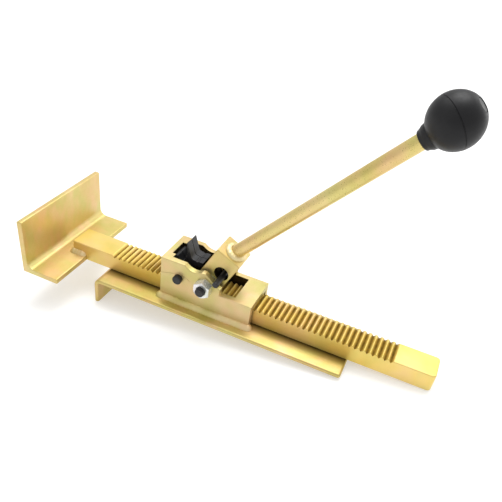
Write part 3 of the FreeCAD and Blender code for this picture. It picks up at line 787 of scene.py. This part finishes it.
def along_y(origin, sign):
    """Frame whose Z axis points along +Y or -Y."""
    z = Vector((0, sign, 0))
    x = Vector((1, 0, 0))
    y = z.cross(x)
    rotation = Matrix((x, y, z)).transposed().to_4x4()
    return Matrix.Translation(origin) @ rotation


# ------------------------------------------------------------------- build

make_rod()
make_knob()
make_handle_weld()
make_housing()
make_housing_beads()
make_pusher_beads()
make_nut_and_bolt()
EDGE_ROUNDS = {"base_plate": 0.5, "rack_bar": 0.22, "pusher_angle": 0.6, "lever_block": 0.5,
               "hold_pawl_near": 0.7, "hold_pawl_far": 0.7, "drive_pawl": 0.4, "release_pin": 0.4,
               "hold_pawl_pin": 0.3, "hold_pawl_spacer": 0.3, "pivot_washers": 0.3,
               "drive_pawl_pin": 0.3, "knob_insert": 0.3}
for node, width in EDGE_ROUNDS.items():
    softened(node, width, {"base_plate": PLATE_GOLD, "lever_block": BLOCK_GOLD}.get(node))
for node in ("hold_pawl_spring", "drive_pawl_spring"):
    mesh_owner = frame["nodes"][node]
    mesh_owner.data.materials.clear()
    mesh_owner.data.materials.append(LOOK[SLOT_OF[node]])


# ----------------------------------------------------------- floor and light

def make_floor():
    """The tool leans on its hook and on the bar's free end, so the floor is tilted to suit."""
    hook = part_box("base_plate")[0]
    bar_low, bar_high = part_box("rack_bar")
    tilt = math.atan2(bar_low.z - hook.z, bar_high.x - hook.x)
    bpy.ops.mesh.primitive_plane_add(size=30)
    floor = bpy.context.object
    floor.name = "floor"
    floor.rotation_euler = (0, -tilt, 0)
    floor.location = (hook.x, 0, hook.z)
    material, nodes, links, shader = node_tree("floor_white")
    grain = object_noise(nodes, links, 3, 2)
    tone = ramp(nodes, links, grain, [(0.3, (0.62, 0.62, 0.617)), (0.7, (0.64, 0.64, 0.64))])
    links.new(tone.outputs["Color"], shader.inputs["Base Color"])
    links.new(tone.outputs["Color"], shader.inputs["Emission Color"])
    shader.inputs["Emission Strength"].default_value = 0.64
    shader.inputs["Roughness"].default_value = 0.6
    floor.data.materials.append(material)
    return floor


def make_light(name, place, aim, size, power, colour=(1, 1, 1)):
    lamp = bpy.data.lights.new(name, "AREA")
    lamp.shape = "RECTANGLE"
    lamp.size, lamp.size_y = size
    lamp.energy = power
    lamp.color = colour
    made = bpy.data.objects.new(name, lamp)
    scene.collection.objects.link(made)
    made.location = place
    made.rotation_mode = "QUATERNION"
    made.rotation_quaternion = (Vector(aim) - Vector(place)).to_track_quat("-Z", "Y")
    return made


def make_sun(name, toward, strength, spread_angle):
    """Wide, even light, so that the floor is equally white everywhere."""
    lamp = bpy.data.lights.new(name, "SUN")
    lamp.energy = strength
    lamp.angle = math.radians(spread_angle)
    made = bpy.data.objects.new(name, lamp)
    scene.collection.objects.link(made)
    made.rotation_mode = "QUATERNION"
    made.rotation_quaternion = Vector(toward).to_track_quat("-Z", "Y")
    return made


make_floor()
make_sun("sky_panel", (0.1, -0.45, -1), 1.2, 34)
make_light("top_soft", (-0.15, 0.3, 1.1), (0, 0, 0), (1.2, 0.9), 5)
make_light("rim_back", (0.7, 0.9, 0.6), (0, 0, 0.1), (0.6, 0.9), 2.5)

world = bpy.data.worlds.new("studio")
scene.world = world
world.use_nodes = True
world.node_tree.nodes["Background"].inputs["Color"].default_value = (1, 1, 1, 1)
world.node_tree.nodes["Background"].inputs["Strength"].default_value = 0.78
scene.view_settings.view_transform = "Standard"

# --------------------------------------------------------------------- camera

AZIMUTH, ELEVATION, ROLL = 19.51, 39.97, 8.13
LOOK_AT = Vector((6.4, 0, 0)) * MM
DISTANCE = 616.3 * MM


def make_camera():
    a, e = math.radians(AZIMUTH), math.radians(ELEVATION)
    back = Vector((math.sin(a) * math.cos(e), -math.cos(a) * math.cos(e), math.sin(e)))
    right = Vector((math.cos(a), math.sin(a), 0))
    up = back.cross(right)
    r = math.radians(ROLL)
    rolled_right = right * math.cos(r) + up * math.sin(r)
    rolled_up = up * math.cos(r) - right * math.sin(r)
    rotation = Matrix((rolled_right, rolled_up, back)).transposed().to_4x4()
    data = bpy.data.cameras.new("camera")
    data.sensor_width = 36
    data.lens = 40.72
    data.shift_x = 0.0416
    data.shift_y = 0.1157
    data.clip_start = 0.01
    made = bpy.data.objects.new("camera", data)
    scene.collection.objects.link(made)
    made.matrix_world = Matrix.Translation(LOOK_AT + back * DISTANCE) @ rotation
    scene.camera = made


make_camera()
